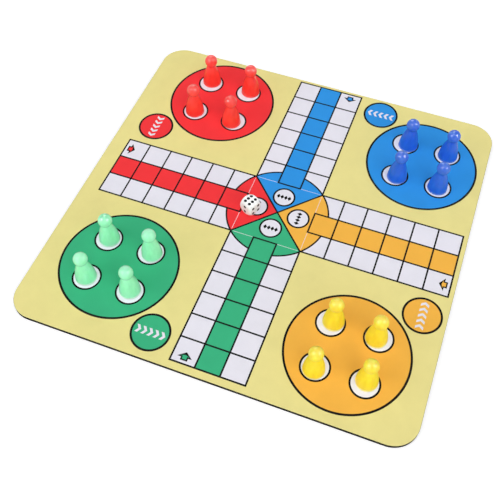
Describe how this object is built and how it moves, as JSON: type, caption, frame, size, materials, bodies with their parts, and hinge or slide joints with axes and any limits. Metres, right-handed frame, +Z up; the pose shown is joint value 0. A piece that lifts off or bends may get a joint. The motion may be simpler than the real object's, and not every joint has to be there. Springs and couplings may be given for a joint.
{
  "type": "race game play mat",
  "caption": "Nearly square rubber-backed cloth mat printed with a cross-shaped race track and four corner nests, set with coloured ball-headed pawns and a rounded die.",
  "frame": {"origin": "middle of the mat's underside, on the table", "axes": "+Z up out of the mat, -Y towards the front edge, +X towards the right edge"},
  "size_m": [0.25, 0.2486, 0.0267],
  "materials": {
    "rubber": "matt foamed rubber, cut edge",
    "cloth": "fine weave with dye-printed layout",
    "red_plastic": "translucent, glossy",
    "blue_plastic": "translucent, glossy",
    "green_plastic": "translucent, glossy",
    "yellow_plastic": "translucent, glossy",
    "die_plastic": "white, black painted pips"
  },
  "bodies": {
    "mat": {"rubber_base": "rubber", "printed_cloth": "cloth"},
    "red_pawn_1": {"red_pawn_1": "red_plastic"},
    "red_pawn_2": {"red_pawn_2": "red_plastic"},
    "red_pawn_3": {"red_pawn_3": "red_plastic"},
    "red_pawn_4": {"red_pawn_4": "red_plastic"},
    "blue_pawn_1": {"blue_pawn_1": "blue_plastic"},
    "blue_pawn_2": {"blue_pawn_2": "blue_plastic"},
    "blue_pawn_3": {"blue_pawn_3": "blue_plastic"},
    "blue_pawn_4": {"blue_pawn_4": "blue_plastic"},
    "green_pawn_1": {"green_pawn_1": "green_plastic"},
    "green_pawn_2": {"green_pawn_2": "green_plastic"},
    "green_pawn_3": {"green_pawn_3": "green_plastic"},
    "green_pawn_4": {"green_pawn_4": "green_plastic"},
    "yellow_pawn_1": {"yellow_pawn_1": "yellow_plastic"},
    "yellow_pawn_2": {"yellow_pawn_2": "yellow_plastic"},
    "yellow_pawn_3": {"yellow_pawn_3": "yellow_plastic"},
    "yellow_pawn_4": {"yellow_pawn_4": "yellow_plastic"},
    "die": {"die": "die_plastic"}
  },
  "joints": [
    {"name": "red_pawn_1_lift", "type": "slide", "parent": "mat", "child": "red_pawn_1", "axis": [0, 0, 1], "range_m": [0, 0.04]},
    {"name": "red_pawn_2_lift", "type": "slide", "parent": "mat", "child": "red_pawn_2", "axis": [0, 0, 1], "range_m": [0, 0.04]},
    {"name": "red_pawn_3_lift", "type": "slide", "parent": "mat", "child": "red_pawn_3", "axis": [0, 0, 1], "range_m": [0, 0.04]},
    {"name": "red_pawn_4_lift", "type": "slide", "parent": "mat", "child": "red_pawn_4", "axis": [0, 0, 1], "range_m": [0, 0.04]},
    {"name": "blue_pawn_1_lift", "type": "slide", "parent": "mat", "child": "blue_pawn_1", "axis": [0, 0, 1], "range_m": [0, 0.04]},
    {"name": "blue_pawn_2_lift", "type": "slide", "parent": "mat", "child": "blue_pawn_2", "axis": [0, 0, 1], "range_m": [0, 0.04]},
    {"name": "blue_pawn_3_lift", "type": "slide", "parent": "mat", "child": "blue_pawn_3", "axis": [0, 0, 1], "range_m": [0, 0.04]},
    {"name": "blue_pawn_4_lift", "type": "slide", "parent": "mat", "child": "blue_pawn_4", "axis": [0, 0, 1], "range_m": [0, 0.04]},
    {"name": "green_pawn_1_lift", "type": "slide", "parent": "mat", "child": "green_pawn_1", "axis": [0, 0, 1], "range_m": [0, 0.04]},
    {"name": "green_pawn_2_lift", "type": "slide", "parent": "mat", "child": "green_pawn_2", "axis": [0, 0, 1], "range_m": [0, 0.04]},
    {"name": "green_pawn_3_lift", "type": "slide", "parent": "mat", "child": "green_pawn_3", "axis": [0, 0, 1], "range_m": [0, 0.04]},
    {"name": "green_pawn_4_lift", "type": "slide", "parent": "mat", "child": "green_pawn_4", "axis": [0, 0, 1], "range_m": [0, 0.04]},
    {"name": "yellow_pawn_1_lift", "type": "slide", "parent": "mat", "child": "yellow_pawn_1", "axis": [0, 0, 1], "range_m": [0, 0.04]},
    {"name": "yellow_pawn_2_lift", "type": "slide", "parent": "mat", "child": "yellow_pawn_2", "axis": [0, 0, 1], "range_m": [0, 0.04]},
    {"name": "yellow_pawn_3_lift", "type": "slide", "parent": "mat", "child": "yellow_pawn_3", "axis": [0, 0, 1], "range_m": [0, 0.04]},
    {"name": "yellow_pawn_4_lift", "type": "slide", "parent": "mat", "child": "yellow_pawn_4", "axis": [0, 0, 1], "range_m": [0, 0.04]},
    {"name": "die_lift", "type": "slide", "parent": "mat", "child": "die", "axis": [0, 0, 1], "range_m": [0, 0.04]}
  ]
}
